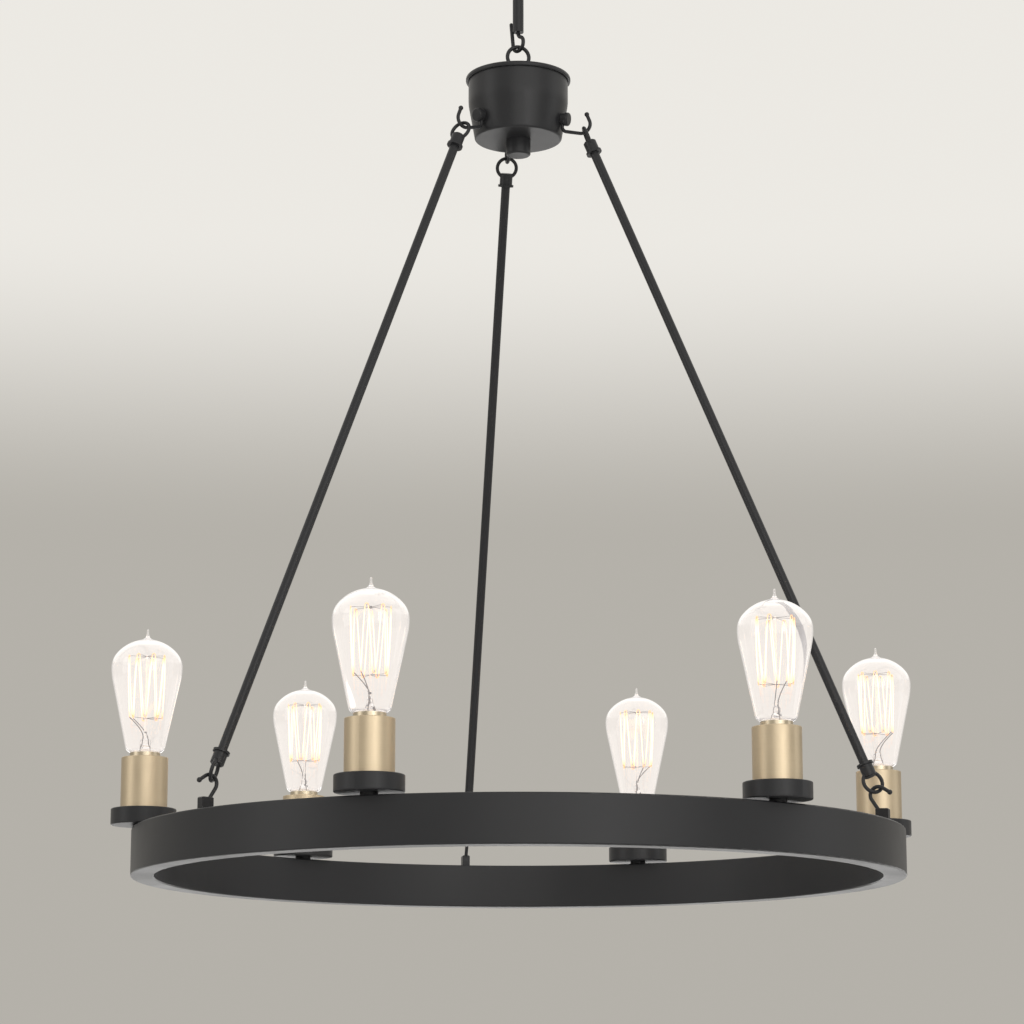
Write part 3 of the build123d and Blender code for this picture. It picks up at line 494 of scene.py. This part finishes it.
black_paint = surfaced(
    "satin black paint",
    fine_grain,
    {
        "Grain Scale": 1400,
        "Patch Scale": 9,
        "Dark": tone(0.0185, 0.0188, 0.0202),
        "Light": tone(0.0235, 0.0238, 0.0255),
        "Smooth": 0.33,
        "Rough": 0.42,
    },
    0.12,
)
black_paint.node_tree.nodes["Principled BSDF"].inputs["Specular IOR Level"].default_value = 0.28
satin_brass = surfaced(
    "satin antique brass",
    brush_lines,
    {
        "Line Scale": 2600,
        "Dark": tone(0.49, 0.4, 0.275),
        "Light": tone(0.63, 0.525, 0.375),
        "Smooth": 0.38,
        "Rough": 0.5,
    },
    0.1,
    1.0,
)
zinc_steel = surfaced(
    "zinc plated steel",
    fine_grain,
    {
        "Grain Scale": 500,
        "Patch Scale": 60,
        "Dark": tone(0.42, 0.43, 0.44),
        "Light": tone(0.58, 0.585, 0.58),
        "Smooth": 0.28,
        "Rough": 0.45,
    },
    0.08,
    1.0,
)
earth_green = surfaced(
    "green dyed brass",
    fine_grain,
    {
        "Grain Scale": 500,
        "Patch Scale": 90,
        "Dark": tone(0.06, 0.2, 0.07),
        "Light": tone(0.1, 0.28, 0.1),
        "Smooth": 0.3,
        "Rough": 0.45,
    },
    0.06,
    0.8,
)
holder_black = surfaced(
    "moulded black lampholder",
    fine_grain,
    {
        "Grain Scale": 700,
        "Patch Scale": 40,
        "Dark": tone(0.012, 0.011, 0.01),
        "Light": tone(0.022, 0.02, 0.018),
        "Smooth": 0.38,
        "Rough": 0.55,
    },
    0.1,
)
contact_brass = surfaced(
    "plain contact brass",
    brush_lines,
    {
        "Line Scale": 1500,
        "Dark": tone(0.55, 0.4, 0.16),
        "Light": tone(0.7, 0.54, 0.26),
        "Smooth": 0.22,
        "Rough": 0.4,
    },
    0.08,
    1.0,
)
base_metal = surfaced(
    "lacquered lamp base",
    brush_lines,
    {
        "Line Scale": 1800,
        "Dark": tone(0.5, 0.42, 0.3),
        "Light": tone(0.66, 0.58, 0.44),
        "Smooth": 0.24,
        "Rough": 0.42,
    },
    0.1,
    1.0,
)
lead_metal = surfaced(
    "nickel lead wire",
    fine_grain,
    {
        "Grain Scale": 900,
        "Patch Scale": 200,
        "Dark": tone(0.05, 0.036, 0.026),
        "Light": tone(0.11, 0.08, 0.058),
        "Smooth": 0.3,
        "Rough": 0.5,
    },
    0.05,
    1.0,
)


def clear_glass(name, painted_glow):
    """Blown lamp glass: clear, with faint waves in its skin and a painted glow: a small even emission that
    stands in for the haze of the filament's light in the glass.
    """
    made, nodes, links, shader = finish(name)
    shader.inputs["Base Color"].default_value = tone(1.0, 0.985, 0.97)
    shader.inputs["Transmission Weight"].default_value = 1.0
    shader.inputs["IOR"].default_value = 1.46
    shader.inputs["Emission Color"].default_value = tone(1.0, 0.95, 0.955)
    shader.inputs["Emission Strength"].default_value = painted_glow
    place = nodes.new("ShaderNodeTexCoord")
    wave = nodes.new("ShaderNodeTexNoise")
    wave.inputs["Scale"].default_value = 55
    haze = nodes.new("ShaderNodeMapRange")
    haze.inputs["To Max"].default_value = 0.03
    relief = nodes.new("ShaderNodeBump")
    relief.inputs["Strength"].default_value = 0.02
    relief.inputs["Distance"].default_value = 0.001
    links.new(place.outputs["Object"], wave.inputs["Vector"])
    links.new(wave.outputs["Fac"], haze.inputs["Value"])
    links.new(haze.outputs["Result"], shader.inputs["Roughness"])
    links.new(wave.outputs["Fac"], relief.inputs["Height"])
    links.new(relief.outputs["Normal"], shader.inputs["Normal"])
    return made


def lit_filament():
    """Glowing wire: hotter along the middle of each strand and more orange near the hooks, by height."""
    made, nodes, links, shader = finish("lit filament")
    place = nodes.new("ShaderNodeTexCoord")
    split = nodes.new("ShaderNodeSeparateXYZ")
    height = nodes.new("ShaderNodeMapRange")
    height.inputs["From Min"].default_value = cup_rim + CAGE_BOTTOM * MM
    height.inputs["From Max"].default_value = cup_rim + CAGE_TOP * MM
    heat = nodes.new("ShaderNodeValToRGB")
    ramp = heat.color_ramp
    for hook_end in ramp.elements:
        hook_end.color = tone(0.5, 0.16, 0.03)
    for hot_end in (0.14, 0.86):
        ramp.elements.new(hot_end).color = tone(1.0, 0.6, 0.28)
    links.new(place.outputs["Object"], split.inputs["Vector"])
    links.new(split.outputs["Z"], height.inputs["Value"])
    links.new(height.outputs["Result"], heat.inputs["Fac"])
    links.new(heat.outputs["Color"], shader.inputs["Emission Color"])
    shader.inputs["Emission Strength"].default_value = 3.1
    shader.inputs["Base Color"].default_value = tone(0.35, 0.2, 0.08)
    shader.inputs["Roughness"].default_value = 0.6
    return made


# Lamps

cup_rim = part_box("socket_cups")[1][2]
# painted glow: the lamp glass and the stem glass give off a little light of their own, standing in for the
# haze round the lit filament
glass = clear_glass("clear lamp glass", 0.105)
stem_glass = clear_glass("clear stem glass", 0.01)
lit_wire = lit_filament()
for k in LAMPS:
    low, high = (np.array(corner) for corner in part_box(f"bulb_base_{k}"))
    axis = np.array([(low[0] + high[0]) / 2, (low[1] + high[1]) / 2, cup_rim])
    turn = math.radians((k - 1) * LAMP_PITCH)
    body = f"lamp_{k}"
    envelope = turned(f"lamp_envelope_{k}", glass_profile(), axis)
    stem = grid_mesh(f"lamp_stem_{k}", set_in_lamp(stem_skin(), axis, turn)[None])
    weld(stem)
    filament = wires(f"lamp_filament_{k}", filament_path(), FILAMENT_RADIUS * MM, axis, turn)
    supports = wires(f"lamp_supports_{k}", support_paths(), SUPPORT_RADIUS * MM, axis, turn, 6)
    leads = wires(f"lamp_leads_{k}", lead_paths(), LEAD_RADIUS * MM, axis, turn, 6)
    for piece, made, slot in (
        (envelope, glass, "lamp_glass"),
        (stem, stem_glass, "lamp_glass"),
        (filament, lit_wire, "filament"),
        (supports, lead_metal, "zinc_steel"),
        (leads, lead_metal, "zinc_steel"),
    ):
        piece.data.materials.append(made)
        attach(piece, body)
    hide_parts(f"bulb_glass_{k}")
    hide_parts(f"bulb_filament_{k}")
    for piece in (envelope, stem):
        piece.visible_shadow = False  # light passes clear glass

slot_finish = {
    "black_paint": black_paint,
    "zinc_steel": zinc_steel,
    "earth_brass": earth_green,
    "satin_brass": satin_brass,
    "holder_black": holder_black,
    "contact_brass": contact_brass,
    "lamp_base": base_metal,
    "lamp_glass": glass,
    "filament": lit_wire,
}
for subpart in frame["record"]["subparts"]:
    node = frame["nodes"][subpart["node"]]
    node.data.materials.clear()
    node.data.materials.append(slot_finish[subpart["material_slot"]])


# Studio

FLOOR = -2.4
FLOOR_RADIUS = 14.0


def floor_disc(radius, steps=48):
    """Level disc: a square grid u, v from -1 to 1 pressed round, R (u sqrt(1 - v^2/2), v sqrt(1 - u^2/2))."""
    u, v = np.meshgrid(np.linspace(-1, 1, steps), np.linspace(-1, 1, steps))
    x, y = u * np.sqrt(1 - v**2 / 2), v * np.sqrt(1 - u**2 / 2)
    points = np.stack([radius * x, radius * y, FLOOR + 0 * x], axis=-1)
    return grid_mesh("studio_floor", points[None], wrap_columns=False)


floor = floor_disc(FLOOR_RADIUS)
floor_finish = surfaced(
    "pale studio floor",
    fine_grain,
    {
        "Grain Scale": 60,
        "Patch Scale": 1.5,
        "Dark": tone(0.78, 0.77, 0.75),
        "Light": tone(0.82, 0.81, 0.79),
        "Smooth": 0.7,
        "Rough": 0.8,
    },
    0.02,
)
floor.data.materials.append(floor_finish)


def open_from_below(made):
    """Lets a finish show only on the front of its faces, so that the floor hides nothing from below."""
    nodes, links = made.node_tree.nodes, made.node_tree.links
    side = nodes.new("ShaderNodeNewGeometry")
    clear = nodes.new("ShaderNodeBsdfTransparent")
    mix = nodes.new("ShaderNodeMixShader")
    links.new(side.outputs["Backfacing"], mix.inputs["Fac"])
    links.new(nodes["Principled BSDF"].outputs["BSDF"], mix.inputs[1])
    links.new(clear.outputs["BSDF"], mix.inputs[2])
    links.new(mix.outputs["Shader"], nodes["Material Output"].inputs["Surface"])


open_from_below(floor_finish)


def pale_room():
    """World light: a pale room where it is seen, mirrored or looked through, and plain soft light elsewhere.

    The room's tone follows the height of the direction: a grey wall up to about 11 degrees above level,
    and a paler ceiling from about 17.
    """
    world = bpy.data.worlds.new("pale room")
    bpy.context.scene.world = world
    world.use_nodes = True
    nodes, links = world.node_tree.nodes, world.node_tree.links
    light = nodes["Background"]
    light.inputs["Color"].default_value = tone(1.0, 0.985, 0.965)
    light.inputs["Strength"].default_value = 0.6
    place = nodes.new("ShaderNodeTexCoord")
    split = nodes.new("ShaderNodeSeparateXYZ")
    height = nodes.new("ShaderNodeMapRange")
    height.inputs["From Min"].default_value = -0.5
    height.inputs["From Max"].default_value = 0.5
    shade = nodes.new("ShaderNodeValToRGB")
    ramp = shade.color_ramp
    ramp.interpolation = "EASE"
    ramp.elements[0].position = 0.69
    ramp.elements[0].color = tone(0.46, 0.44, 0.4)
    ramp.elements[1].position = 0.79
    ramp.elements[1].color = tone(0.84, 0.818, 0.772)
    seen = nodes.new("ShaderNodeBackground")
    ray = nodes.new("ShaderNodeLightPath")
    first = nodes.new("ShaderNodeMath")
    first.operation = "MAXIMUM"
    either = nodes.new("ShaderNodeMath")
    either.operation = "MAXIMUM"
    mix = nodes.new("ShaderNodeMixShader")
    links.new(place.outputs["Generated"], split.inputs["Vector"])
    links.new(split.outputs["Z"], height.inputs["Value"])
    links.new(height.outputs["Result"], shade.inputs["Fac"])
    links.new(shade.outputs["Color"], seen.inputs["Color"])
    links.new(ray.outputs["Is Camera Ray"], first.inputs[0])
    links.new(ray.outputs["Is Glossy Ray"], first.inputs[1])
    links.new(first.outputs[0], either.inputs[0])
    links.new(ray.outputs["Is Transmission Ray"], either.inputs[1])
    links.new(either.outputs[0], mix.inputs["Fac"])
    links.new(light.outputs["Background"], mix.inputs[1])
    links.new(seen.outputs["Background"], mix.inputs[2])
    links.new(mix.outputs["Shader"], nodes["World Output"].inputs["Surface"])


def soft_light(name, place, aim, width, height, power, colour=(1, 1, 1)):
    """A rectangular softbox at a place, turned to its aim, and seen neither directly nor through glass."""
    data = bpy.data.lights.new(name, "AREA")
    data.shape = "RECTANGLE"
    data.size, data.size_y = width, height
    data.energy = power
    data.color = colour
    panel = bpy.data.objects.new(name, data)
    bpy.context.scene.collection.objects.link(panel)
    panel.location = place
    panel.rotation_euler = (Vector(aim) - Vector(place)).to_track_quat("-Z", "Y").to_euler()
    panel.visible_camera = False
    panel.visible_transmission = False
    return panel


pale_room()
middle = (0, 0, -0.65)
soft_light("key softbox", (0.6, -3.35, 0.05), middle, 4.0, 2.4, 40, (1.0, 0.985, 0.96))
soft_light("narrow softbox", (0.83, -3.1, -0.42), (0.0, 0.0, -0.9), 0.5, 1.0, 4.5)
strip = soft_light("low strip", (0.7, 4.0, -1.42), (0.0, 0.0, -1.0), 5.0, 0.6, 18)
strip.visible_diffuse = False  # only a gleam on faces that look down
soft_light("left softbox", (-3.12, -0.71, 0.0), middle, 1.4, 2.2, 13, (1.0, 0.99, 0.975))
soft_light("right softbox", (3.16, -0.51, -0.2), middle, 1.4, 2.2, 7, (0.97, 0.985, 1.0))
top = soft_light("top softbox", (0.3, 0.6, 1.6), middle, 2.6, 2.6, 40)
top.visible_glossy = False  # only plain light from above


# Camera: long lens below the ring, turned a little to the right and tilted up

LENS = 107.57
SENSOR = 36
CAMERA_PLACE = (-0.4244, -2.6344, -1.1952)
CAMERA_HEADING = -9.03
CAMERA_TILT = 11.554

camera_data = bpy.data.cameras.new("camera")
camera_data.lens = LENS
camera_data.sensor_width = SENSOR
camera = bpy.data.objects.new("camera", camera_data)
bpy.context.scene.collection.objects.link(camera)
camera.location = CAMERA_PLACE
camera.rotation_euler = (math.radians(90 + CAMERA_TILT), 0, math.radians(CAMERA_HEADING))
bpy.context.scene.camera = camera
bpy.context.scene.view_settings.view_transform = "Standard"
